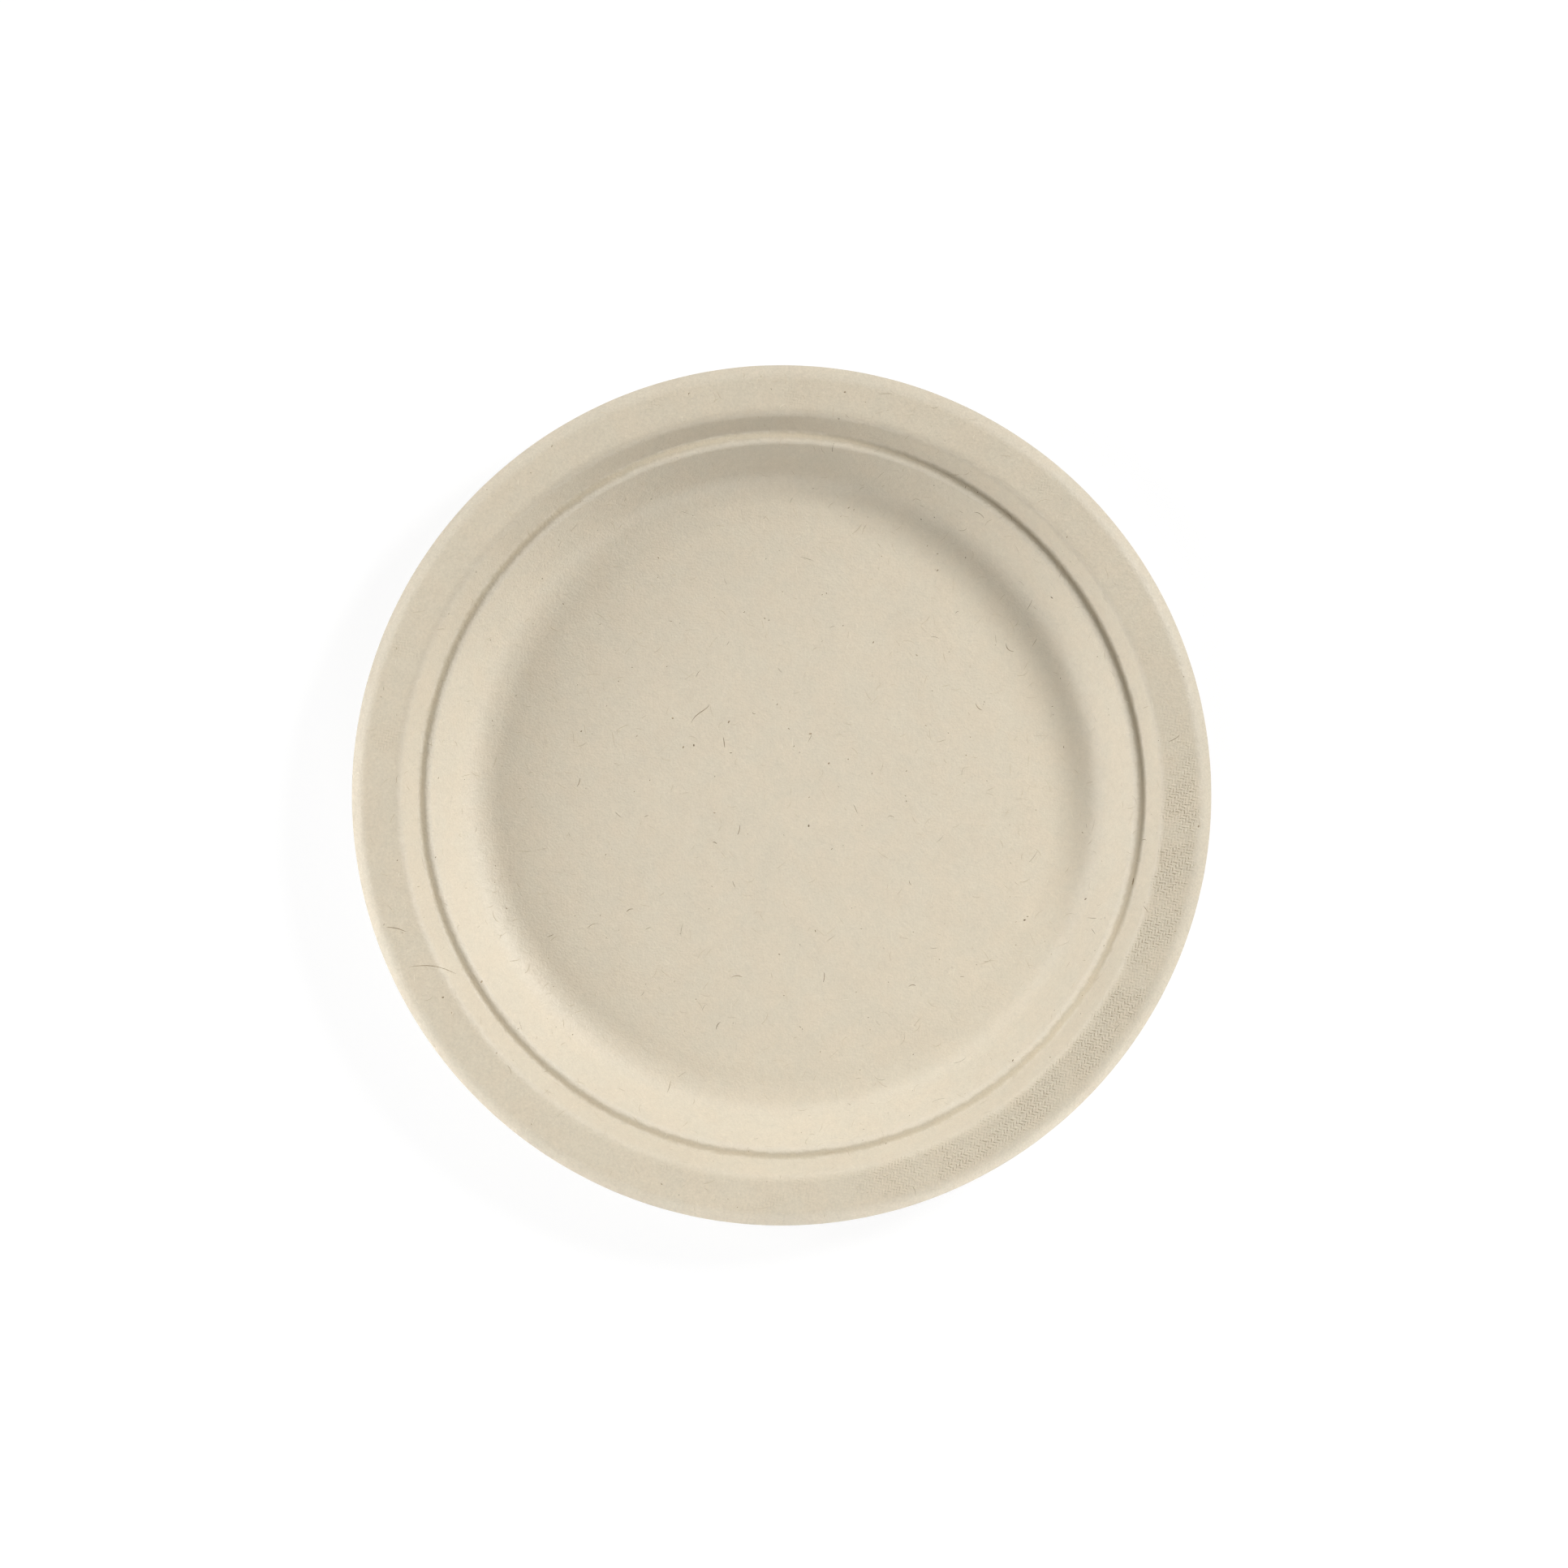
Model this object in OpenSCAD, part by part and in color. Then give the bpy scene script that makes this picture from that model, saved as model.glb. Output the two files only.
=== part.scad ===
// A round plate pressed from one sheet of pulp. From the middle outwards it has a flat floor that it
// stands on, a wall that sweeps up out of the floor, a narrow ledge that dips outwards into a crease,
// a second slope, a flat rim and a lip that turns down. The sheet is equally thick all over. Z is up,
// and the origin is the middle of the face that the plate stands on.

/* [Plate] */
// Diameter over the outer edge of the lip
plate_d = 228; // [180:1:320]
// Height of the rim's top face above the table
plate_h = 21; // [16:0.5:27]
// Thickness of the pressed sheet
sheet = 0.6; // [0.4:0.05:1]

/* [Rim] */
// Width of the rim, from the lip's edge to where its flat would meet the slope
rim_w = 12.8; // [10:0.1:20]
// Radius where the rim rolls over into the slope
rim_roll_r = 3.5; // [1.5:0.1:5]
// Radius of the lip's bend
lip_r = 3.9; // [2:0.1:5.5]
// Angle that the lip turns down by, from level
lip_angle = 44; // [30:1:70]
// Width of the lip's straight run, from its bend to its edge
lip_run = 1.3; // [0.2:0.1:3]

/* [Ledge] */
// Depth below the rim where the ledge would meet the slope
ledge_drop = 6.6; // [4:0.1:8]
// Width of the ledge, between where it would meet the slope and the wall
ledge_w = 2.7; // [2:0.1:6]
// Angle that the ledge dips outwards by, from level
ledge_dip = 12; // [0:1:20]
// Angle of the slope between the ledge and the rim, from level
slope_angle = 54; // [40:1:65]
// Radius of the crease between the ledge and the slope
crease_r = 1.3; // [0.5:0.1:3]
// Radius where the ledge rolls over into the wall
ledge_roll_r = 2; // [1.2:0.1:4]

/* [Well] */
// Angle of the wall, from level
wall_angle = 51.5; // [38:0.5:60]
// Radius of the sweep from the floor into the wall
sweep_r = 13.2; // [6:0.1:20]

/* [Hidden] */
// Faces round the plate, and flats along each bend of its section
round_faces = 240;
bend_steps = 12;
// Most of a straight run that the bends at its two ends may fill
run_fill = 0.95;
pulp_colour = [0.84, 0.8, 0.71];

// Places where the straight runs of the top face would meet, as [distance from the axis, height].
// They are worked out from the lip's edge inwards.
edge_r = plate_d / 2;
lip_corner = [edge_r - lip_run - lip_r * (sin(lip_angle) - tan(lip_angle / 2)), plate_h];
lip_end = lip_corner + (edge_r - lip_corner[0]) * [1, -tan(lip_angle)];
rim_corner = [edge_r - rim_w, plate_h];
crease_corner = rim_corner - ledge_drop * [1 / tan(slope_angle), 1];
ledge_corner = crease_corner + ledge_w * [-1, tan(ledge_dip)];
floor_corner = [ledge_corner[0] - (ledge_corner[1] - sheet) / tan(wall_angle), sheet];

// The top face from the middle outwards: where its straight runs start and end, the angle that each
// run climbs at, and the radius of the bend between one run and the next
stops = [[0, sheet], floor_corner, ledge_corner, crease_corner, rim_corner, lip_corner, lip_end];
climbs = [0, wall_angle, -ledge_dip, slope_angle, 0, -lip_angle];
bend_radii = [0, sweep_r, ledge_roll_r, crease_r, rim_roll_r, lip_r, 0];

// A bend reaches some way along the runs on both sides of it. Where the two bends at the ends of a
// run would fill more than that run, both shrink to fit.
function reach(i) = bend_radii[i] == 0 ? 0 : bend_radii[i] * tan(abs(climbs[i] - climbs[i - 1]) / 2);
function run_fit(i) = run_fill * norm(stops[i + 1] - stops[i]) / (reach(i) + reach(i + 1));
function fitted_radius(i) = bend_radii[i] * min(1, run_fit(i - 1), run_fit(i));

// The bend at one stop, as points at a depth below the top face. A sheet that turns upwards has its
// centre above it, so its underside has the larger radius, and one that rolls over has the smaller.
function bend(i, depth) =
    let (
        from = climbs[i - 1],
        to = climbs[i],
        side = to > from ? 1 : -1,
        radius = fitted_radius(i),
        start = stops[i] - radius * tan(abs(to - from) / 2) * [cos(from), sin(from)],
        centre = start + side * radius * [-sin(from), cos(from)],
        r = radius + side * depth
    )
    [for (step = [0:bend_steps])
        let (a = from + (to - from) * step / bend_steps)
        centre + side * r * [sin(a), -cos(a)]];

// One face of the sheet from the axis out to the lip's edge, at a depth below the top face
function face(depth) = concat(
    [stops[0] - [0, depth]],
    [for (i = [1:len(stops) - 2]) each bend(i, depth)],
    [lip_end - depth * [sin(lip_angle), cos(lip_angle)]]
);

function reversed(points) = [for (i = [len(points) - 1:-1:0]) points[i]];

// The whole plate: the section between its two faces, turned round the axis
module plate() {
    color(pulp_colour)
        rotate_extrude($fn = round_faces)
            polygon(concat(face(sheet), reversed(face(0))));
}

plate();
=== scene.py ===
# %% [markdown]
# A plate pressed from pulp
#
# The real plate is one sheet of wet plant fibre, pressed and dried between two hot metal moulds. So
# everything that the eye reads on it is either the bend of that one sheet or the fibre in it. This
# script builds both: first a fine mesh of the sheet, then its finish, then the loose fibres that lie
# in its surface, and last the floor, the lamps and the camera of a plain product picture.

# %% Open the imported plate
import math
import random
from collections import defaultdict

import bpy
import numpy as np
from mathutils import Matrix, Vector, noise


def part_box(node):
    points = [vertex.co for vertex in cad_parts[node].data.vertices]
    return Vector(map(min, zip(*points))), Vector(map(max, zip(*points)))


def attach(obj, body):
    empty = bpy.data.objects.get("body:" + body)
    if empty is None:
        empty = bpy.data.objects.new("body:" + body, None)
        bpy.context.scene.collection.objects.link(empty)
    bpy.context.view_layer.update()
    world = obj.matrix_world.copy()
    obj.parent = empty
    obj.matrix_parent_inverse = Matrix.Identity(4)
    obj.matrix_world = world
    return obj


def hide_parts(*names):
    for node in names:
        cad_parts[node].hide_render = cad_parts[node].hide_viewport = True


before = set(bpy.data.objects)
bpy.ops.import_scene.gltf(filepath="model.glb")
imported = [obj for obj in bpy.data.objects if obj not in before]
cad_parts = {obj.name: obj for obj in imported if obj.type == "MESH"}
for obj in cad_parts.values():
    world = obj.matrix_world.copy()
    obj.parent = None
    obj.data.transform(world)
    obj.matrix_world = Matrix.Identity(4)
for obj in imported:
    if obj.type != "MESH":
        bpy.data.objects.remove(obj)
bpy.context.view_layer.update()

MM = 0.001
high_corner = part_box("plate")[1]
edge_radius = high_corner.x
rim_height = high_corner.z
print(f"plate: {2 * edge_radius / MM:.1f} mm across, {rim_height / MM:.1f} mm high")

# %% [markdown]
# Reading the section back
#
# A turned shape is known by its section: the line that is spun round the axis to make it. The packed
# solid already holds that line, because its faces meet along a seam on the +X side. Following the
# seam's edges from point to point gives the section in order, so the fine mesh can't drift away from
# the solid that it dresses, whatever size the solid has.

# %% Follow the seam
TOUCH = 0.001 * MM
MICRON_DIGITS = 6


def seam_outline(solid):
    """The section as (radius, height) points, along the top face, over the lip and back underneath."""
    links = defaultdict(set)
    corners = [vertex.co for vertex in solid.data.vertices]
    for edge in solid.data.edges:
        ends = [corners[i] for i in edge.vertices]
        if all(abs(end.y) < TOUCH and end.x > 0 for end in ends):
            here, there = [(round(end.x, MICRON_DIGITS), round(end.z, MICRON_DIGITS)) for end in ends]
            if here != there:
                links[here].add(there)
                links[there].add(here)
    loose_ends = [point for point in links if len(links[point]) == 1]
    outline, last = [max(loose_ends, key=lambda point: point[1])], None
    while True:
        onwards = [point for point in links[outline[-1]] if point != last]
        if not onwards:
            return outline
        last = outline[-1]
        outline.append(onwards[0])


outline = seam_outline(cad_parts["plate"])
top_count = 1 + max(range(len(outline)), key=lambda i: outline[i][0])
top_line, under_line = outline[:top_count], outline[top_count:]
sheet = top_line[0][1] - under_line[-1][1]
floor_edge = top_line[0][0] / MM
rim_flat = [point[0] / MM for point in top_line if point[1] > rim_height - TOUCH]
rim_flat_start, rim_flat_end = min(rim_flat), max(rim_flat)
falls = [
    near
    for near, far in zip(top_line, top_line[1:])
    if far[1] < near[1] and far[0] < rim_flat_start * MM
]
ledge_start, ledge_end = falls[0][0] / MM, falls[-1][0] / MM
print(f"section: {len(top_line)} points on top, {len(under_line)} underneath, sheet {sheet / MM:.2f} mm")
print(f"floor: flat out to {floor_edge:.1f} mm from the axis")
print(f"ledge: dips from {ledge_start:.1f} to {ledge_end:.1f} mm from the axis")
print(f"rim: flat from {rim_flat_start:.1f} to {rim_flat_end:.1f} mm from the axis")

# %% [markdown]
# A softer edge and closer rings
#
# The die leaves the lip's edge a little rounded, because wet fibre can't hold a sharp corner. Each of
# the two corners of the cut is swapped for a short arc. Then long straight runs get more points, so
# that the sheet can be very slightly uneven there, as pressed pulp is.

# %% Round the edge and divide the long runs
EDGE_ROUND = 0.2 * MM
EDGE_STEPS = 4
RING_STEP = 1.25 * MM
FLOOR_STEP = 3.0 * MM
AROUND = 384


def rounded(before, corner, after, radius, steps):
    """A short curve in place of a corner, from one of its sides to the other."""
    before, corner, after = Vector(before), Vector(corner), Vector(after)
    start = corner + (before - corner).normalized() * radius
    end = corner + (after - corner).normalized() * radius
    curve = []
    for i in range(steps + 1):
        t = i / steps
        curve.append(tuple(start * (1 - t) ** 2 + corner * 2 * t * (1 - t) + end * t ** 2))
    return curve


def divided(line, longest):
    """The same line, with no run longer than that."""
    points = [line[0]]
    for (r0, z0), (r1, z1) in zip(line, line[1:]):
        count = max(1, math.ceil(math.dist((r0, z0), (r1, z1)) / longest))
        points += [(r0 + (r1 - r0) * i / count, z0 + (z1 - z0) * i / count) for i in range(1, count + 1)]
    return points


def floor_line(edge_point, step):
    """Points from near the axis out to the flat floor's edge, which isn't repeated."""
    count = math.ceil(edge_point[0] / step)
    return [(edge_point[0] * i / count, edge_point[1]) for i in range(1, count)]


top_edge = rounded(top_line[-2], top_line[-1], under_line[0], EDGE_ROUND, EDGE_STEPS)
under_edge = rounded(top_line[-1], under_line[0], under_line[1], EDGE_ROUND, EDGE_STEPS)
top_points = floor_line(top_line[0], FLOOR_STEP) + divided(top_line[:-1], RING_STEP)
under_points = divided(under_line[1:], RING_STEP) + floor_line(under_line[-1], FLOOR_STEP)[::-1]
section = top_points + top_edge + under_edge + under_points
print(f"section: {len(section)} rings of {AROUND}")

# %% [markdown]
# Spinning the sheet
#
# Blender's Spin or Screw would turn the section too, but here each ring is placed by a short loop, for
# one reason: every point first passes through the function `settled`. It moves the point by up to a
# quarter of a millimetre, as drying does. The rim sags a little and its edge draws in, the middle of the
# floor rises by a hair, and shallow dents cover all but the face that the plate stands on. Both faces of
# the sheet are moved alike, so it keeps its thickness. At the rim the move is only downwards or inwards,
# so the plate keeps its size.

# %% Let the sheet dry a little unevenly
RIM_SAG = 0.22 * MM
EDGE_SHRINK = 0.05 * MM
FLOOR_LIFT = 0.06 * MM
DENT = 0.05 * MM
SAG_LUMPS = 1 / (70 * MM)
DENT_LUMPS = 1 / (7 * MM)
# A second slice through the noise, so that the dents don't follow the sag
DENT_SLICE = 0.01
# Shares of the plate's height: the dents are full from here up, and the floor's lift ends here
DENTS_FROM = 0.25
LIFT_BELOW = 0.5


def settled(x, y, z):
    """Where a point of the sheet comes to lie once the plate has dried."""
    radius = math.hypot(x, y)
    out = radius / edge_radius
    up = z / rim_height
    slow = 0.5 + 0.5 * noise.noise(Vector((x, y, 0)) * SAG_LUMPS)
    quick = 0.5 + 0.5 * noise.noise(Vector((x, y, DENT_SLICE)) * DENT_LUMPS)
    down = RIM_SAG * slow * out ** 4 * up + DENT * quick * min(1, up / DENTS_FROM)
    lift = FLOOR_LIFT * slow * (1 - up) * (1 - out) if up < LIFT_BELOW else 0
    inward = EDGE_SHRINK * quick * out ** 8
    shrink = 1 - inward / max(radius, MM)
    return x * shrink, y * shrink, z - down + lift


# %% Build the fine mesh
def spun(points, around):
    """Rings of points round the axis, closed at both ends by a fan."""
    vertices = []
    for radius, height in points:
        for step in range(around):
            turn = 2 * math.pi * step / around
            vertices.append(settled(radius * math.cos(turn), radius * math.sin(turn), height))
    faces = []
    for ring in range(len(points) - 1):
        for step in range(around):
            a, b = ring * around + step, ring * around + (step + 1) % around
            faces.append((a, a + around, b + around, b))
    for ring, height, outwards in ((0, points[0][1], True), (len(points) - 1, points[-1][1], False)):
        middle = len(vertices)
        vertices.append(settled(0, 0, height))
        for step in range(around):
            a, b = ring * around + step, ring * around + (step + 1) % around
            faces.append((middle, a, b) if outwards else (middle, b, a))
    return vertices, faces


def as_piece(name, vertices, faces):
    """A smooth-shaded object in the scene, made of these faces."""
    mesh = bpy.data.meshes.new(name)
    mesh.from_pydata(vertices, [], faces)
    mesh.shade_smooth()
    piece = bpy.data.objects.new(name, mesh)
    bpy.context.scene.collection.objects.link(piece)
    return piece


pulp_plate = as_piece("pulp_plate", *spun(section, AROUND))
print(f"pulp_plate: {len(pulp_plate.data.vertices)} points, {len(pulp_plate.data.polygons)} faces")

# %% [markdown]
# Nodes in few words
#
# The finishes below are all made of Blender's shader nodes, and a few small helpers keep them readable.
# The first one adds a node and fills its inputs, each with a value or with a link. Each of the others
# adds what one thought needs and gives back the result, so a finish reads like a row of short sums.


# %% Helpers for shader nodes
def add_node(tree, kind, inputs=None, **settings):
    """A new node. Each input is given a plain value, or another node's output to follow."""
    node = tree.nodes.new(kind)
    for name, value in settings.items():
        setattr(node, name, value)
    for name, value in (inputs or {}).items():
        if isinstance(value, bpy.types.NodeSocket):
            tree.links.new(value, node.inputs[name])
        else:
            node.inputs[name].default_value = value
    return node


def sums(tree, operation, *values):
    """The result of one sum on numbers."""
    return add_node(tree, "ShaderNodeMath", dict(enumerate(values)), operation=operation).outputs[0]


def vector_sum(tree, operation, *values):
    """The result of one sum on places or colours."""
    return add_node(tree, "ShaderNodeVectorMath", dict(enumerate(values)), operation=operation).outputs[0]


def scaled(tree, vector, factor):
    """A place or a colour, times a number."""
    return add_node(tree, "ShaderNodeVectorMath", {0: vector, "Scale": factor}, operation="SCALE").outputs[0]


def mixed(tree, share, first, second):
    """Between two colours, by a share from 0 to 1."""
    return add_node(tree, "ShaderNodeMix", {0: share, 6: first, 7: second}, data_type="RGBA").outputs[2]


def between(tree, value, low, high, to_low=0.0, to_high=1.0):
    """Maps a value smoothly from one range to another, and holds it there."""
    inputs = {"Value": value, "From Min": low, "From Max": high, "To Min": to_low, "To Max": to_high}
    return add_node(tree, "ShaderNodeMapRange", inputs, interpolation_type="SMOOTHSTEP").outputs[0]


def cloud(tree, place, per_mm, detail=2.0, rough=0.5):
    """A soft noise, about 0 to 1, with lumps of roughly 1 / per_mm millimetres."""
    inputs = {"Vector": place, "Scale": per_mm, "Detail": detail, "Roughness": rough}
    return add_node(tree, "ShaderNodeTexNoise", inputs).outputs["Fac"]


def added(tree, total, layer, weight):
    """The total with one more layer of noise on it, counted from that noise's middle value."""
    return sums(tree, "MULTIPLY_ADD", sums(tree, "SUBTRACT", layer, 0.5), weight, total)


def mapped(tree, place, **changes):
    """Places that are moved, turned or stretched."""
    return add_node(tree, "ShaderNodeMapping", {"Vector": place, **changes}).outputs[0]


def pushed(tree, place, per_mm, reach, detail):
    """Places pushed out of line by a soft noise, each by up to that reach in millimetres."""
    inputs = {"Vector": place, "Scale": per_mm, "Detail": detail}
    push = add_node(tree, "ShaderNodeTexNoise", inputs).outputs["Color"]
    return vector_sum(tree, "MULTIPLY_ADD", push, (reach, reach, 0), place)


def in_millimetres(tree):
    """Each point's place on the plate, in millimetres."""
    return scaled(tree, add_node(tree, "ShaderNodeTexCoord").outputs["Object"], 1 / MM)


def along_axes(tree, place):
    """The x, y and z of each place."""
    return add_node(tree, "ShaderNodeSeparateXYZ", {0: place}).outputs[:]


def from_axis(tree, place):
    """How far each place lies from the plate's axis."""
    x, y, _ = along_axes(tree, place)
    return sums(tree, "SQRT", sums(tree, "MULTIPLY_ADD", x, x, sums(tree, "MULTIPLY", y, y)))


def seen_by_camera(tree):
    """1 on the camera's own rays, straight, mirrored or through glass, and 0 on all the others."""
    path = add_node(tree, "ShaderNodeLightPath").outputs
    seen = sums(tree, "MAXIMUM", path["Is Camera Ray"], path["Is Glossy Ray"])
    return sums(tree, "MAXIMUM", seen, path["Is Transmission Ray"])


def new_material(name):
    """An empty material with its shader, as (material, tree, shader)."""
    material = bpy.data.materials.new(name)
    material.use_nodes = True
    return material, material.node_tree, material.node_tree.nodes["Principled BSDF"]


# %% [markdown]
# The pulp's finish
#
# Seen close, unbleached pulp is a pale tan felt. Its tone drifts in clouds a centimetre wide, where the
# felt is thicker or thinner, with finer mottling inside them. Over that lie faint fibres that run every
# way, and here and there a dark speck of stalk. None of it repeats, so it is all noise: plain noise for
# the clouds, and noise that is stretched along one direction for each set of fibres.

# %% Felted fibres as streaks of noise
FIBRE_TURNS = (8, 49, 97, 141)
FIBRE_SHIFT = 37.0
STREAKS_ALONG = 0.34
STREAKS_ACROSS = 3.4
BENDS_PER_MM = 0.22
BEND_REACH = 2.2


def fibre_layer(tree, place, turn_deg, shift):
    """Streaks of felt that run one way, each fading in and out."""
    turned = mapped(tree, place, Location=(shift, shift, 0), Rotation=(0, 0, math.radians(turn_deg)))
    bent = pushed(tree, turned, BENDS_PER_MM, BEND_REACH, detail=1.0)
    drawn = mapped(tree, bent, Scale=(STREAKS_ALONG, STREAKS_ACROSS, STREAKS_ALONG))
    return cloud(tree, drawn, 1.0, detail=1.0)


def felt(tree, place):
    """All the fibre layers together, as the strongest and the weakest streak at each place."""
    streaks = [fibre_layer(tree, place, turn, FIBRE_SHIFT * i) for i, turn in enumerate(FIBRE_TURNS)]
    strongest, weakest = streaks[0], streaks[0]
    for streak in streaks[1:]:
        strongest = sums(tree, "MAXIMUM", strongest, streak)
        weakest = sums(tree, "MINIMUM", weakest, streak)
    return strongest, weakest


# %% Specks of stalk
SPECK_SPACING = 3.1
SPECK_SHARE = 0.10
# The largest speck's radius, and the smallest one's and the dark core's as shares of it
SPECK_RADIUS = 0.2
SPECK_LEAST = 0.4
SPECK_CORE = 0.35


def specks(tree, place):
    """Small round spots: each cell of a Voronoi pattern may hold one at its middle."""
    cell = add_node(tree, "ShaderNodeTexVoronoi", {"Vector": place, "Scale": 1 / SPECK_SPACING})
    chance = add_node(tree, "ShaderNodeSeparateColor", {0: cell.outputs["Color"]})
    held = sums(tree, "LESS_THAN", chance.outputs[0], SPECK_SHARE)
    radius = SPECK_RADIUS / SPECK_SPACING
    size = sums(tree, "MULTIPLY_ADD", chance.outputs[1], radius, SPECK_LEAST * radius)
    near = sums(tree, "DIVIDE", cell.outputs["Distance"], size)
    return sums(tree, "MULTIPLY", between(tree, near, 1.0, SPECK_CORE), held)


# %% [markdown]
# The mark of the wire cloth
#
# The wet sheet is sucked down onto fine wire cloth, and on the flat of the rim the press hasn't quite
# smoothed its mark away. The cloth is a twill: each wire passes over two and under two, and each next
# wire does so one step further on. The node tree below is that cloth: two sets of round wires, each
# rising and dipping as a slow wave that is shifted by a quarter from wire to wire. The higher of the
# two sets at each place is what the pulp was pressed against. A felt doesn't take such a mark evenly, so
# it is pulled a little out of line, and it comes and goes in patches along one side of the rim.

# %% The woven mark
WIRE_PITCH = 0.737
WIRE_TURN = 8.5
PULLS_PER_MM = 0.6
PULL_REACH = 0.6


def one_set_of_wires(tree, across, along, sign):
    """Height of one set of wires, from where a point lies across them and along them, in pitches."""
    middle = sums(tree, "ROUND", across)
    off = sums(tree, "SUBTRACT", across, middle)
    hump = sums(tree, "COSINE", sums(tree, "MULTIPLY", off, 2 * math.pi))
    phase = sums(tree, "SUBTRACT", along, middle)
    wave = sums(tree, "COSINE", sums(tree, "MULTIPLY_ADD", phase, math.pi / 2, sign * math.pi / 4))
    return sums(tree, "MULTIPLY_ADD", wave, 0.5 * sign, sums(tree, "MULTIPLY", hump, 0.5))


def wire_cloth(tree, place):
    """Height of the twill cloth, about -1 to 1."""
    pulled = pushed(tree, place, PULLS_PER_MM, PULL_REACH, detail=2.0)
    x, y, _ = along_axes(tree, mapped(tree, pulled, Rotation=(0, 0, math.radians(WIRE_TURN))))
    u = sums(tree, "DIVIDE", x, WIRE_PITCH)
    v = sums(tree, "DIVIDE", y, WIRE_PITCH)
    warp = one_set_of_wires(tree, u, v, 1)
    weft = one_set_of_wires(tree, v, u, -1)
    return sums(tree, "MAXIMUM", warp, weft)


# %% Where the mark shows
# Where it fades in and out, in millimetres from the axis, and how ragged those two borders are: lumps to
# a millimetre, and how far they reach
MARK_IN = (rim_flat_start - 2.8, rim_flat_start - 0.4)
MARK_OUT = (rim_flat_end + 1.4, rim_flat_end - 1.0)
MARK_RAGS_PER_MM = 0.3
MARK_RAGGED = 3.0
# The side of the rim that it is on, and the cosines of how far round from there it starts and is full
MARK_FACING = -34
MARK_SIDE = (0.62, 0.86)
# It is on the upper part of the plate, from this share of the height
MARK_ABOVE = 0.8
# Patches in it: lumps to a millimetre, detail, the noise's range and what the mark is worth at each end
WIDE_PATCHES = (0.12, 3.0, (0.36, 0.56), (0.45, 1.0))
FINE_PATCHES = (1.1, 2.0, (0.38, 0.62), (0.35, 1.3))
STRAY_PATCHES = (0.09, 2.0, (0.58, 0.72), (0.0, 0.3))


def patches(tree, place, per_mm, detail, noise_range, strengths):
    """Soft patches of noise, with a strength of their own inside and outside."""
    return between(tree, cloud(tree, place, per_mm, detail=detail), *noise_range, *strengths)


def mark_strength(tree, place, radius):
    """How clearly the cloth's mark shows: on the rim only, most of all on one side, and patchily."""
    x, y, z = along_axes(tree, place)
    ragged = added(tree, radius, cloud(tree, place, MARK_RAGS_PER_MM), MARK_RAGGED)
    on_rim = sums(tree, "MULTIPLY", between(tree, ragged, *MARK_IN), between(tree, ragged, *MARK_OUT))
    on_top = sums(tree, "GREATER_THAN", z, MARK_ABOVE * rim_height / MM)
    facing = math.radians(MARK_FACING)
    towards = sums(tree, "MULTIPLY_ADD", y, math.sin(facing), sums(tree, "MULTIPLY", x, math.cos(facing)))
    side = between(tree, sums(tree, "DIVIDE", towards, sums(tree, "MAXIMUM", radius, 1.0)), *MARK_SIDE)
    wide, fine = patches(tree, place, *WIDE_PATCHES), patches(tree, place, *FINE_PATCHES)
    clear = sums(tree, "MULTIPLY", side, sums(tree, "MULTIPLY", wide, fine))
    clear = sums(tree, "MAXIMUM", clear, patches(tree, place, *STRAY_PATCHES))
    return sums(tree, "MULTIPLY", sums(tree, "MULTIPLY", clear, on_rim), on_top)


# %% [markdown]
# Tone, sheen and relief together
#
# Each layer of noise only shifts the tone by a few hundredths, because real pulp is that even. Tints by
# ring make the broader steps. The wall and the slope are tinted a little paler and cooler, a painted
# sheen as on steep faces turned to the lamps. The ledge and its crease are tinted darker and browner,
# and the floor's edge at the foot of the wall a little darker: painted shade, where the groove and the
# wall's foot lie in shade. The press bears less hard on the rim, where the fibre stays open, so that is
# darker and coarser. The borders between the rings are ragged, as felt is. Where the wires of the cloth
# left gaps, the skin is painted darker still: painted shade in the hollows of the mark. Hot pressing also
# leaves a faint sheen, which is what makes the wall and the lip glow where they turn to a lamp, so the
# surface is not fully rough.

# %% Put the pulp's finish together
PULP_COOL = (0.653, 0.585, 0.462, 1)
PULP_WARM = (0.664, 0.585, 0.457, 1)
HUES_PER_MM = 0.13
HUE_RANGE = (0.35, 0.65)
# Each ring: where its tint starts to show and where it is full, in millimetres from the axis, and the tint
RINGS = (
    # Painted shade: the floor's edge and the bend at the foot of the wall, a little darker
    ("sweep", floor_edge - 5.0, floor_edge - 1.0, (0.966, 0.966, 0.966, 1)),
    # Painted sheen: the wall a little paler and cooler
    ("wall", floor_edge + 4.5, floor_edge + 8.5, (1.045, 1.056, 1.078, 1)),
    # Painted shade in the groove: the ledge and its crease, darker and browner
    ("ledge", ledge_start - 0.6, ledge_start + 0.6, (0.83, 0.82, 0.797, 1)),
    ("crease", ledge_end - 1.0, ledge_end - 0.4, (0.90, 0.885, 0.845, 1)),
    # Painted sheen: the slope a touch paler and cooler
    ("slope", ledge_end + 0.3, ledge_end + 1.1, (1.01, 1.014, 1.025, 1)),
    ("rim", rim_flat_start - 2.6, rim_flat_start - 0.8, (0.935, 0.927, 0.912, 1)),
    ("lip", rim_flat_end - 0.3, rim_flat_end + 1.5, (0.925, 0.927, 0.928, 1)),
)
BORDERS_PER_MM = 0.45
BORDER_RAGGED = 1.6
# The layers of noise, as lumps to a millimetre, and how far each one shifts the tone
CLOUDS_PER_MM, CLOUD_TONE = 0.075, 0.085
MOTTLES_PER_MM, MOTTLE_TONE = 0.55, 0.10
GRAINS_PER_MM, GRAIN_TONE, RIM_GRAIN_TONE = 1.7, 0.12, 0.12
# Where the rim's coarser grain starts and is full, in millimetres from the axis
OPEN_SKIN = (rim_flat_start - 2.0, rim_flat_start)
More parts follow.
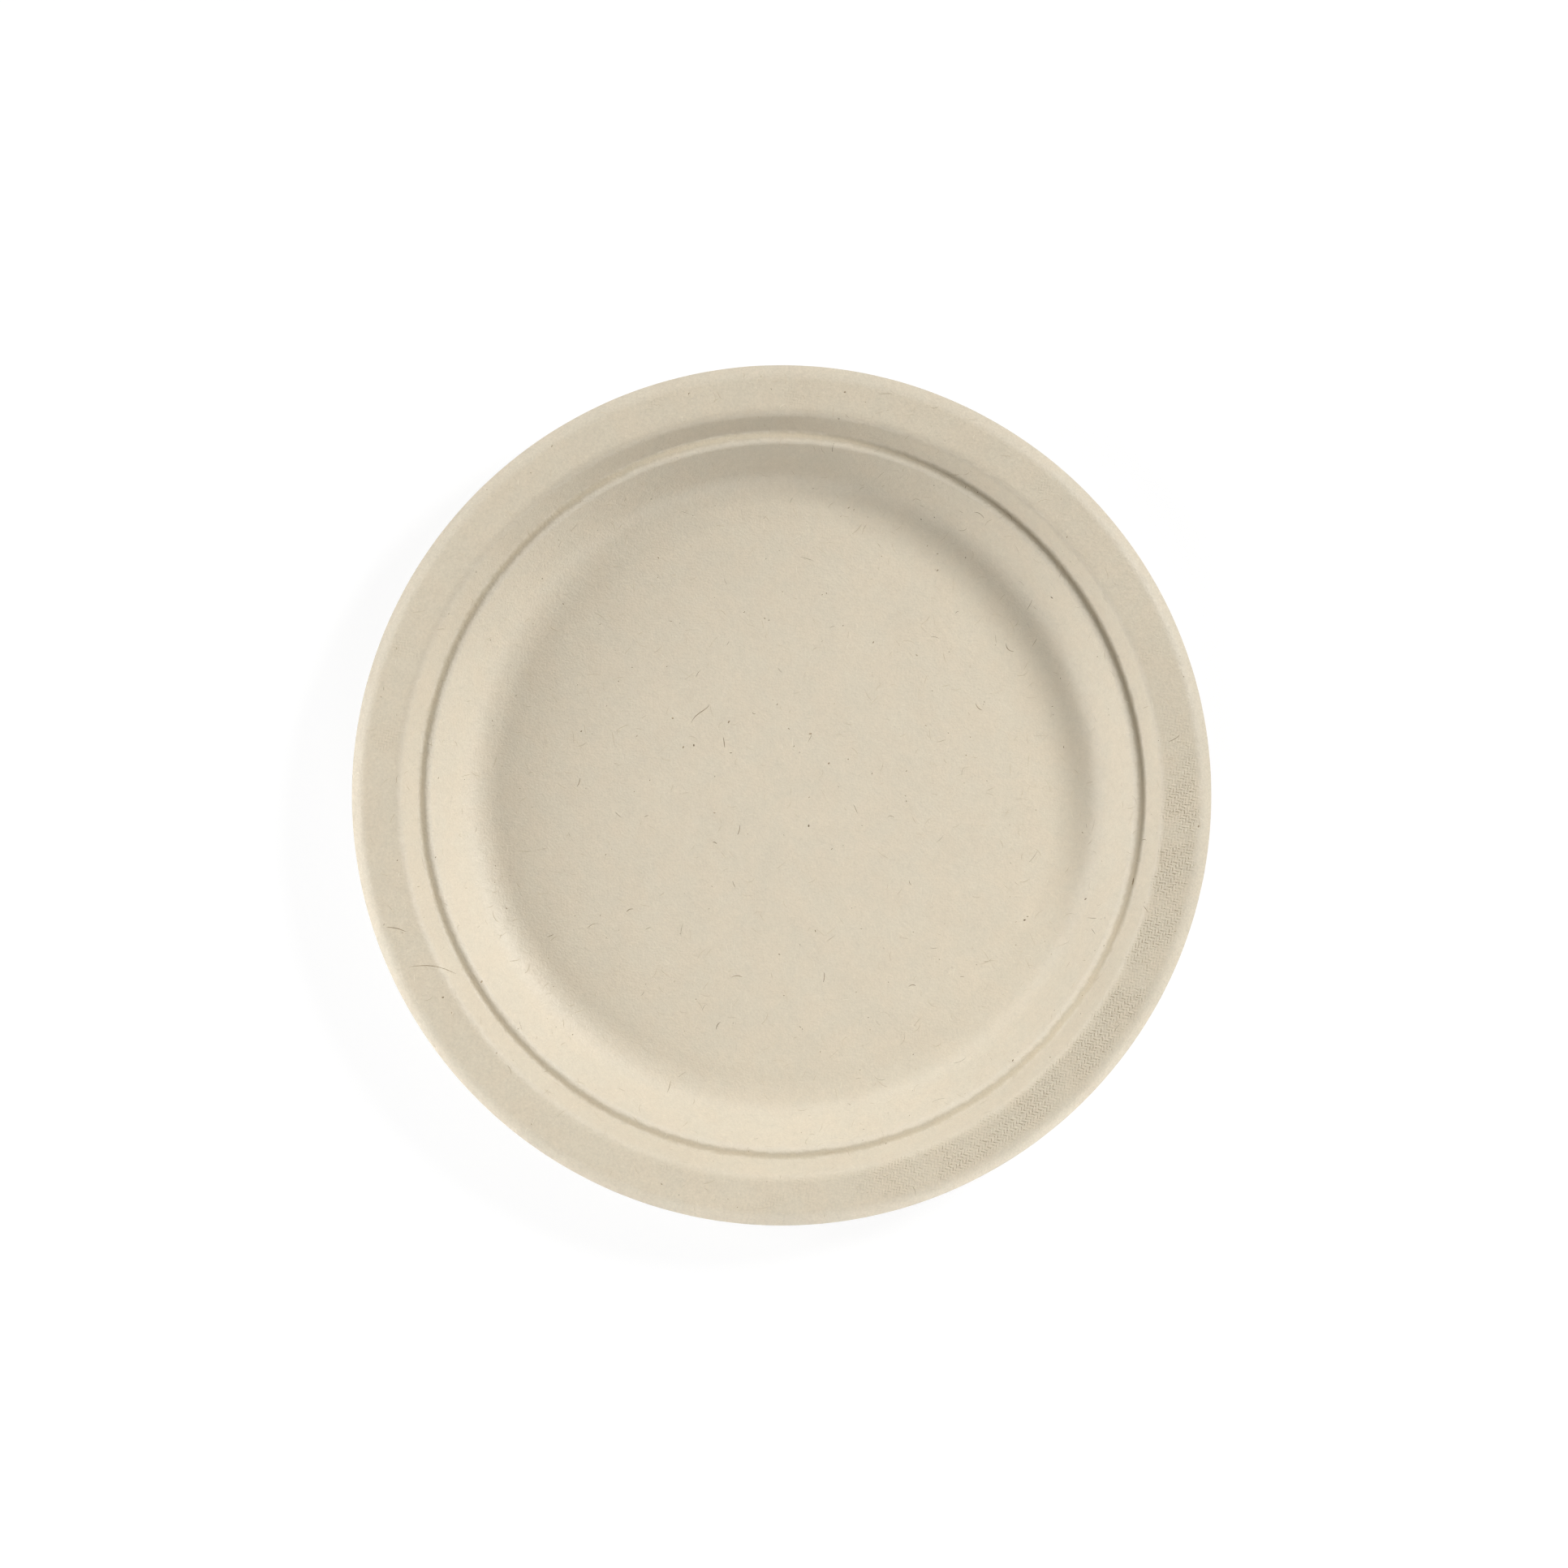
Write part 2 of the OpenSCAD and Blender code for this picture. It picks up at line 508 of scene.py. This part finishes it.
# The range of the felt's streaks that shows, and how far it shifts the tone
DARK_RANGE, DARK_STREAK = (0.60, 0.80), -0.055
PALE_RANGE, PALE_STREAK = (0.40, 0.20), 0.05
# The cloth's mark: its tone, the range of its height that is gap, how much of that the painted shade in the
# gaps covers, and the shade's colour
PATCH_TONE = 0.05
SHADED_GAP_RANGE = (0.45, -0.15)
GAP_SHADE_SHARE = 0.95
GAP_SHADE_COLOUR = (0.40, 0.335, 0.23, 1)
SPECK_COVER = 0.6
SPECK_COLOUR = (0.30, 0.235, 0.15, 1)
# How deep each layer is pressed, in millimetres
CLOTH_DEPTH = 0.12
FELT_DEPTH = 0.06
GRAIN_DEPTH = 0.12
LUMP_DEPTH = 0.15
# The sheen, from the mottling's lows to its highs
SHEEN_RANGE = (0.3, 0.7)
ROUGHNESS = (0.60, 0.50)
SHINE = 0.5


def ring_tint_and_painted_light(tree, place, radius):
    """The tint of the ring that each place lies in: the rim's own tone and the lip's tint, painted shade in
    the groove and at the wall's foot, and painted sheen on the wall and the slope.
    """
    ragged = added(tree, radius, cloud(tree, place, BORDERS_PER_MM, detail=3.0), BORDER_RAGGED)
    tint = (1, 1, 1, 1)
    for _, start, full, ring_colour in RINGS:
        tint = mixed(tree, between(tree, ragged, start, full), tint, ring_colour)
    return tint


def pulp_finish():
    """Unbleached pressed pulp, with colour and relief from the same layers."""
    material, tree, shader = new_material("unbleached_pulp")
    place = in_millimetres(tree)
    radius = from_axis(tree, place)
    mottle = cloud(tree, place, MOTTLES_PER_MM, detail=4.0, rough=0.6)
    grain = cloud(tree, place, GRAINS_PER_MM)
    strongest, weakest = felt(tree, place)
    cloth = wire_cloth(tree, place)
    strength = mark_strength(tree, place, radius)

    open_skin = between(tree, radius, *OPEN_SKIN)
    grain_tone = sums(tree, "MULTIPLY_ADD", open_skin, RIM_GRAIN_TONE, GRAIN_TONE)
    tone = added(tree, 1.0, cloud(tree, place, CLOUDS_PER_MM, detail=3.0), CLOUD_TONE)
    tone = added(tree, tone, mottle, MOTTLE_TONE)
    tone = added(tree, tone, grain, grain_tone)
    tone = sums(tree, "ADD", tone, between(tree, strongest, *DARK_RANGE, 0.0, DARK_STREAK))
    tone = sums(tree, "ADD", tone, between(tree, weakest, *PALE_RANGE, 0.0, PALE_STREAK))
    tone = sums(tree, "MULTIPLY_ADD", strength, PATCH_TONE, tone)

    hue = between(tree, cloud(tree, place, HUES_PER_MM, detail=3.0), *HUE_RANGE)
    colour = mixed(tree, hue, PULP_COOL, PULP_WARM)
    # The ring tints: painted shade in the groove and at the wall's foot, painted sheen on the wall and the
    # slope, and the rim's own darker tone
    colour = vector_sum(tree, "MULTIPLY", colour, ring_tint_and_painted_light(tree, place, radius))
    colour = scaled(tree, colour, tone)
    # Painted shade: the gaps between the cloth's wires are darkened where the mark shows
    painted_gap_shade = sums(tree, "MULTIPLY", between(tree, cloth, *SHADED_GAP_RANGE), strength)
    colour = mixed(tree, sums(tree, "MULTIPLY", painted_gap_shade, GAP_SHADE_SHARE), colour, GAP_SHADE_COLOUR)
    spots = sums(tree, "MULTIPLY", specks(tree, place), SPECK_COVER)
    colour = mixed(tree, spots, colour, SPECK_COLOUR)
    tree.links.new(colour, shader.inputs["Base Color"])

    height = sums(tree, "MULTIPLY", sums(tree, "MULTIPLY", cloth, strength), CLOTH_DEPTH)
    for layer, depth in ((strongest, FELT_DEPTH), (grain, GRAIN_DEPTH), (mottle, LUMP_DEPTH)):
        height = sums(tree, "MULTIPLY_ADD", layer, depth, height)
    relief = add_node(tree, "ShaderNodeBump", {"Height": height, "Strength": 1.0, "Distance": MM})
    tree.links.new(relief.outputs[0], shader.inputs["Normal"])
    tree.links.new(between(tree, mottle, *SHEEN_RANGE, *ROUGHNESS), shader.inputs["Roughness"])
    shader.inputs["Specular IOR Level"].default_value = SHINE
    return material


pulp_plate.data.materials.append(pulp_finish())
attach(pulp_plate, "root")
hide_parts("plate")
print("pulp_plate: finish and body set")

# %% [markdown]
# Loose fibres in the skin
#
# A few fibres are longer or darker than the felt round them, and catch the eye as fine hairs. They are
# real pieces here, each a thin tapered thread that is partly sunk in the skin. To lay one down, the
# face is treated as a path out from the axis: a place on it is a distance along that path and a
# direction round the plate. A thread is a short walk over the face that turns a little at every step,
# so it follows the wall and the ledge without being fitted to them.

# %% Lay threads on a face
# How far to look along a face to see which way it faces
PROBE = 0.2 * MM
# How much a thread's heading strays over its length, in radians
STRAY = 0.25
# Closer to the axis than this, a thread's direction round the plate changes no faster
LEAST_RADIUS = 2 * MM
# How blunt a thread's ends are, in steps, and how much of its width lies under the skin
BLUNT = 0.35
SUNK = 3


class Face:
    """One face of the sheet, to lay threads on."""

    def __init__(self, line, upper):
        self.radii = [0.0] + [point[0] for point in line]
        self.heights = [line[0][1]] + [point[1] for point in line]
        steps = np.hypot(np.diff(self.radii), np.diff(self.heights))
        self.lengths = np.concatenate([[0.0], np.cumsum(steps)])
        self.upper = upper

    def radius(self, along):
        """How far from the axis the path has come after that distance."""
        return float(np.interp(along, self.lengths, self.radii))

    def along_at(self, radius):
        """The distance along the path at which it is that far from the axis."""
        return float(np.interp(radius, self.radii, self.lengths))

    def point(self, along, turn):
        """The place on the dried face after that distance along the path, in that direction."""
        radius = self.radius(along)
        height = float(np.interp(along, self.lengths, self.heights))
        return Vector(settled(radius * math.cos(turn), radius * math.sin(turn), height))

    def outward(self, along, turn):
        """The direction that points straight out of this face."""
        here = self.point(along, turn)
        away = self.point(along + PROBE, turn) - here
        side = self.point(along, turn + PROBE / max(self.radius(along), MM)) - here
        straight = away.cross(side).normalized()
        return straight if (straight.z > 0) == self.upper else -straight


def walk(face, start, heading, length, curl, chance, steps):
    """A thread's places on a face, from a start and a heading, turning as it goes."""
    along, turn = start
    places = [start]
    for _ in range(steps):
        heading += (curl + chance.gauss(0, STRAY)) / steps
        along += length / steps * math.cos(heading)
        turn += length / steps * math.sin(heading) / max(face.radius(along), LEAST_RADIUS)
        places.append((along, turn))
    return places


def thread(face, places, width, rise):
    """One tapered thread as points and faces: a diamond section that rises a little above the skin."""
    middles = [face.point(*place) for place in places]
    points, faces = [], []
    last = len(places) - 1
    for i, (place, middle) in enumerate(zip(places, middles)):
        up = face.outward(*place)
        way = (middles[min(i + 1, last)] - middles[max(i - 1, 0)]).normalized()
        side = way.cross(up)
        full = math.sin(math.pi * (i + BLUNT) / (last + 2 * BLUNT)) ** 0.5
        for offset in (side * width / 2, up * rise, side * -width / 2, up * -width / SUNK):
            corner = middle + offset * full
            corner.z = max(corner.z, 0)
            points.append(corner)
    for i in range(last):
        for k in range(4):
            a, b = 4 * i + k, 4 * i + (k + 1) % 4
            faces.append((a, b, b + 4, a + 4))
    faces += [(3, 2, 1, 0), tuple(4 * last + k for k in range(4))]
    return points, faces


def joined(threads):
    """Many threads as one list of points and faces."""
    points, faces = [], []
    for more_points, more_faces in threads:
        faces += [tuple(i + len(points) for i in corners) for corners in more_faces]
        points += more_points
    return points, faces


top_face = Face(top_line, True)
under_face = Face(under_line[::-1], False)
print(f"faces: {top_face.lengths[-1] / MM:.0f} mm from axis to lip on top")

# %% [markdown]
# How many, how long, how dark
#
# Most of the threads fall at random, with the same seed each time. The few that stand out most are set
# one by one, at the places where they lie on the real plate, so that a close look finds them there.

# %% Ways to place the threads
SEED = 7
# For a scattered thread: how close to the lip's edge it may come, how far it curls in radians, and how
# far it rises above the skin
ROOM = 1.5 * MM
CURL = 0.9
SCATTERED_RISE = 0.03 * MM
# For a chosen one: the highest power in its curve, and the steps that it takes for each point given
CURVE_DEGREE = 3
STEPS_PER_POINT = 4


def scattered(face, count, lengths, widths, steps, chance):
    """Threads dropped evenly over a face, each with a length, width and curl of its own."""
    threads = []
    outer = face.radii[-1] - ROOM
    while len(threads) < count:
        radius = outer * math.sqrt(chance.random())
        length = chance.uniform(*lengths) * MM
        start = (face.along_at(radius), chance.uniform(0, 2 * math.pi))
        heading = chance.uniform(0, 2 * math.pi)
        curl = chance.gauss(0, CURL)
        places = walk(face, start, heading, length, curl, chance, steps)
        if all(0 < along < face.lengths[-1] - ROOM for along, _ in places):
            threads.append(thread(face, places, chance.uniform(*widths) * MM, SCATTERED_RISE))
    return threads


def laid_along(face, curves, width, rise):
    """Threads along chosen curves. Each is given by a few points x, y in millimetres, seen from above."""
    threads = []
    for points in curves:
        knots = np.linspace(0, 1, len(points))
        steps = np.linspace(0, 1, STEPS_PER_POINT * len(points))
        degree = min(CURVE_DEGREE, len(points) - 1)
        curve = [np.polyval(np.polyfit(knots, values, degree), steps) for values in zip(*points)]
        places = [(face.along_at(math.hypot(x, y) * MM), math.atan2(y, x)) for x, y in zip(*curve)]
        threads.append(thread(face, places, width * MM, rise * MM))
    return threads


# %% Lay the chosen threads and scatter the rest
HAIRS = (
    ((-98.6, -45.5), (-94.1, -45.1), (-90.6, -45.5), (-88.3, -46.4), (-86.3, -47.3)),
    ((-104.6, -35.0), (-102.0, -35.2), (-99.5, -36.1)),
    ((-24.7, 19.2), (-23.3, 21.3), (-21.2, 22.8), (-20.0, 24.1)),
    ((-16.2, 15.4), (-15.9, 12.7)),
    ((-11.8, -7.8), (-12.0, -9.3), (-12.5, -10.5)),
    ((58.9, 40.3), (59.2, 39.1), (60.0, 38.4), (61.0, 38.2)),
    ((50.9, 75.0), (52.4, 74.6), (53.4, 73.4)),
    ((96.0, -29.2), (97.3, -30.9)),
    ((10.5, -47.0), (10.6, -48.4), (10.3, -49.6)),
    ((33.0, -50.8), (34.0, -50.3), (34.9, -50.6)),
    ((-14.0, -48.3), (-12.6, -47.9), (-11.2, -48.3)),
    ((-18.2, -62.2), (-17.8, -61.0), (-17.0, -60.2)),
    ((-42.0, -31.0), (-41.2, -30.3), (-40.2, -30.2)),
    ((-55.2, 2.3), (-54.6, 3.4), (-54.4, 4.6)),
    ((50.8, 24.4), (51.5, 23.2), (52.6, 22.6)),
    ((-19.1, -12.5), (-18.5, -12.5), (-18.0, -12.9)),
)
STALKS = (
    ((-15.0, 19.2), (-14.6, 19.8)),
    ((-27.0, 12.5), (-26.8, 13.1)),
    ((-24.1, 13.0), (-24.1, 13.6)),
    ((-30.0, 20.5), (-29.4, 20.5)),
    ((6.5, 16.3), (7.3, 16.4)),
    ((6.4, -8.4), (6.5, -7.8)),
    ((11.6, 8.3), (12.0, 8.7)),
    ((79.8, -27.7), (80.4, -27.3)),
    ((71.0, 52.6), (71.6, 52.2)),
    ((-79.9, -49.7), (-79.5, -49.1)),
    ((-89.9, -53.6), (-89.3, -53.4)),
    ((63.5, -33.2), (64.1, -33.0)),
    ((61.1, -70.5), (61.3, -69.9)),
    ((92.8, -23.8), (93.2, -21.9)),
    ((110.5, -8.5), (110.7, -7.9)),
    ((16.7, 106.7), (17.3, 106.8)),
)
FLECKS = (
    ((58.0, -52.8), (58.4, -52.4)),
    ((90.9, -65.1), (91.3, -64.7)),
)
# The chosen threads of each set, with their width and rise in millimetres
CHOSEN = {
    "dark_fibres": (HAIRS, 0.21, 0.04),
    "pale_fibres": (FLECKS, 0.4, 0.05),
    "stalk_specks": (STALKS, 0.42, 0.05),
}
# The scattered threads of each set: how many on each face, how long and how wide in millimetres, and in
# how many steps
SCATTERED = {
    "dark_fibres": (60, (1.0, 4.0), (0.08, 0.16), 6),
    "faint_fibres": (700, (0.8, 3.8), (0.09, 0.18), 6),
    "pale_fibres": (500, (0.6, 2.6), (0.08, 0.16), 6),
    "stalk_specks": (230, (0.25, 0.6), (0.12, 0.28), 3),
}
chance = random.Random(SEED)
thread_sets = {name: [] for name in SCATTERED}
for name, (curves, width, rise) in CHOSEN.items():
    thread_sets[name] += laid_along(top_face, curves, width, rise)
for face in (top_face, under_face):
    for name, kind in SCATTERED.items():
        thread_sets[name] += scattered(face, *kind, chance)
thread_pieces = {name: as_piece(name, *joined(threads)) for name, threads in thread_sets.items()}
for name, threads in thread_sets.items():
    print(f"{name}: {len(threads)}")

# %% Finish the threads
TONE_RANGE = (0.3, 0.7)
THREAD_ROUGHNESS = (0.75, 0.9)
THREAD_SHINE = 0.3


def plant_finish(name, light, dark, lumps_per_mm):
    """Dry plant fibre, whose tone differs from one thread to the next and a little along each."""
    material, tree, shader = new_material(name)
    by_thread = cloud(tree, in_millimetres(tree), lumps_per_mm, detail=3.0, rough=0.7)
    colour = mixed(tree, between(tree, by_thread, *TONE_RANGE), dark, light)
    tree.links.new(colour, shader.inputs["Base Color"])
    roughness = between(tree, by_thread, *TONE_RANGE, *THREAD_ROUGHNESS)
    tree.links.new(roughness, shader.inputs["Roughness"])
    shader.inputs["Specular IOR Level"].default_value = THREAD_SHINE
    return material


# Each set's finish: its name, the light and the dark tone, and lumps of tone to a millimetre
FINISHES = {
    "dark_fibres": ("dark_fibre", (0.42, 0.34, 0.235, 1), (0.23, 0.18, 0.11, 1), 0.4),
    "faint_fibres": ("faint_fibre", (0.64, 0.56, 0.425, 1), (0.49, 0.41, 0.295, 1), 0.4),
    "pale_fibres": ("pale_fibre", (0.745, 0.685, 0.56, 1), (0.66, 0.59, 0.46, 1), 0.4),
    "stalk_specks": ("stalk_skin", (0.46, 0.37, 0.25, 1), (0.17, 0.125, 0.07, 1), 0.5),
}
for name, piece in thread_pieces.items():
    piece.data.materials.append(plant_finish(*FINISHES[name]))
    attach(piece, "root")
print(f"finished {len(thread_pieces)} sets of threads")

# %% [markdown]
# A white floor that keeps a shadow
#
# In a cut-out product picture the ground is plain white. More light would wash out the pale plate, so
# the floor glows a little instead, for the camera alone: Light Path tells the material which rays are
# the camera's. To the plate it is an ordinary pale floor, which throws light back up under the lip.

# %% Lay the floor
FLOOR_ACROSS = 30.0
FLOOR_COLOUR = (0.8, 0.8, 0.8, 1)
FLOOR_GLOW = 0.90
FLOOR_SEEN = (0.13, 0.13, 0.13, 1)


def floor_finish():
    """Pale and matt to the plate, and nearly white to the camera."""
    material, tree, shader = new_material("white_ground")
    shader.inputs["Base Color"].default_value = FLOOR_COLOUR
    shader.inputs["Roughness"].default_value = 1.0
    shader.inputs["Specular IOR Level"].default_value = 0.0
    matt = add_node(tree, "ShaderNodeBsdfDiffuse", {"Color": FLOOR_SEEN})
    glow = add_node(tree, "ShaderNodeEmission", {"Strength": FLOOR_GLOW})
    both = add_node(tree, "ShaderNodeAddShader", {0: matt.outputs[0], 1: glow.outputs[0]})
    shaders = {0: seen_by_camera(tree), 1: shader.outputs[0], 2: both.outputs[0]}
    chosen = add_node(tree, "ShaderNodeMixShader", shaders)
    tree.links.new(chosen.outputs[0], tree.nodes["Material Output"].inputs["Surface"])
    return material


half = FLOOR_ACROSS / 2
floor_corners = [(-half, -half, 0), (half, -half, 0), (half, half, 0), (-half, half, 0)]
ground = as_piece("ground", floor_corners, [(0, 1, 2, 3)])
ground.data.materials.append(floor_finish())
print(f"ground: {FLOOR_ACROSS:.0f} m square")

# %% [markdown]
# Lamps that model the form
#
# A plate seen from straight above has no outline to tell how deep it is. Only the light does. The main
# lamp stands to the upper right, so the wall on that side falls into shade and the groove above it
# draws a dark line, while the far wall shines. A weak lamp behind the plate keeps that shade open.
# Others stand low on the left: they rake over the floor, brighten the right wall and make the left side
# of the lip glow. Two small ones in front and two cards that stand on the floor there light the front of
# the lip. A lamp's level is how brightly it lights a face at the plate's middle that is turned square to
# it: at 1, a colour renders as written.

# %% Ways to hang a lamp
# A soft lamp's width, as a share of its distance
LAMP_SPREAD = 0.3
# A card's width and height, and how high its middle is
CARD_SIZE = (0.3, 0.014)
CARD_MIDDLE = 0.008


def direction(azimuth, elevation):
    """The way from the plate to a place in the room. Azimuth 0 is to the right, 90 to the picture's top."""
    turn, lift = math.radians(azimuth), math.radians(elevation)
    return Vector((math.cos(turn) * math.cos(lift), math.sin(turn) * math.cos(lift), math.sin(lift)))


def lamp_towards(name, way, distance, level):
    """An area lamp that stands that way from the plate, and looks back at it."""
    data = bpy.data.lights.new(name, "AREA")
    data.energy = level * (math.pi * distance) ** 2
    lamp = bpy.data.objects.new(name, data)
    lamp.location = way * distance
    lamp.rotation_mode = "QUATERNION"
    lamp.rotation_quaternion = way.to_track_quat("Z", "Y")
    lamp.visible_camera = False
    bpy.context.scene.collection.objects.link(lamp)
    return lamp


def soft_lamp(name, azimuth, elevation, distance, level):
    """A round soft lamp."""
    lamp = lamp_towards(name, direction(azimuth, elevation), distance, level)
    lamp.data.shape = "DISK"
    lamp.data.size = LAMP_SPREAD * distance


def floor_card(name, azimuth, distance, level):
    """A low bright card that stands on the floor and is turned to the plate's edge."""
    lamp = lamp_towards(name, direction(azimuth, 0), distance, level)
    lamp.data.shape = "RECTANGLE"
    lamp.data.size, lamp.data.size_y = CARD_SIZE
    lamp.location.z = CARD_MIDDLE


# %% Hang the lamps
# Each lamp's name, azimuth, elevation, distance and level
LAMPS = (
    ("key_lamp", 30, 36, 3.0, 0.995),
    ("back_lamp", 120, 20, 3.0, 0.156),
    ("left_upper_lamp", 170, 28, 3.0, 0.183),
    ("left_lower_lamp", 170, 12, 3.0, 0.240),
    ("left_raking_lamp", 200, 6, 3.0, 0.196),
    ("left_near_lamp", 180, 20, 0.6, 0.240),
    ("front_lower_lamp", 260, 20, 0.6, 0.129),
    ("front_upper_lamp", 270, 40, 0.6, 0.161),
)
# Each card's name, azimuth, distance and level
CARDS = (
    ("front_right_card", 300, 0.3, 0.290),
    ("front_left_card", 220, 0.3, 0.178),
)
SKY_LEVEL = 0.01


def white_world(level):
    """An even weak light from all round, that the camera sees as white."""
    world = bpy.data.worlds.new("plain_white")
    world.use_nodes = True
    tree = world.node_tree
    strength = sums(tree, "MULTIPLY_ADD", seen_by_camera(tree), 1.0 - level, level)
    tree.links.new(strength, tree.nodes["Background"].inputs["Strength"])
    tree.nodes["Background"].inputs["Color"].default_value = (1, 1, 1, 1)
    return world


for lamp_values in LAMPS:
    soft_lamp(*lamp_values)
for card_values in CARDS:
    floor_card(*card_values)
bpy.context.scene.world = white_world(SKY_LEVEL)
print(f"lamps: {len(LAMPS)} soft ones and {len(CARDS)} cards, sky at {SKY_LEVEL}")

# %% [markdown]
# The camera
#
# The picture looks almost straight down, with the plate's outline a true circle. It is taken from just
# under three degrees to the right: the floor and the ledge sit that little bit to the right inside the
# rim, so the groove looks wider on that side. A long lens from far off keeps the floor of the plate from
# looking smaller than it is beside the rim.

# %% Set the camera
FRAME_PIXELS = 1932
PLATE_PIXELS = 1061.5
PLATE_MIDDLE = (962.0, 980.0)
CAMERA_DISTANCE = 6.0
CAMERA_SEES = 60.0
CAMERA_LEAN = math.radians(2.75)
SENSOR = 36.0

metres_per_pixel = 2 * edge_radius / PLATE_PIXELS
camera_data = bpy.data.cameras.new("camera")
camera_data.sensor_width = SENSOR
camera_data.lens = SENSOR * CAMERA_DISTANCE / (FRAME_PIXELS * metres_per_pixel)
camera_data.clip_end = CAMERA_SEES
camera = bpy.data.objects.new("camera", camera_data)
camera.rotation_euler = (0, CAMERA_LEAN, 0)
towards_camera = Vector((math.sin(CAMERA_LEAN), 0, math.cos(CAMERA_LEAN)))
to_the_right = Vector((math.cos(CAMERA_LEAN), 0, -math.sin(CAMERA_LEAN)))
right = (FRAME_PIXELS / 2 - PLATE_MIDDLE[0]) * metres_per_pixel
up = (PLATE_MIDDLE[1] - FRAME_PIXELS / 2) * metres_per_pixel
aim = Vector((0, 0, rim_height)) + to_the_right * right + Vector((0, up, 0))
camera.location = aim + towards_camera * CAMERA_DISTANCE
bpy.context.scene.collection.objects.link(camera)
bpy.context.scene.camera = camera
bpy.context.scene.view_settings.view_transform = "Standard"
print(f"camera: {camera_data.lens:.0f} mm lens, {metres_per_pixel / MM:.4f} mm to a pixel")
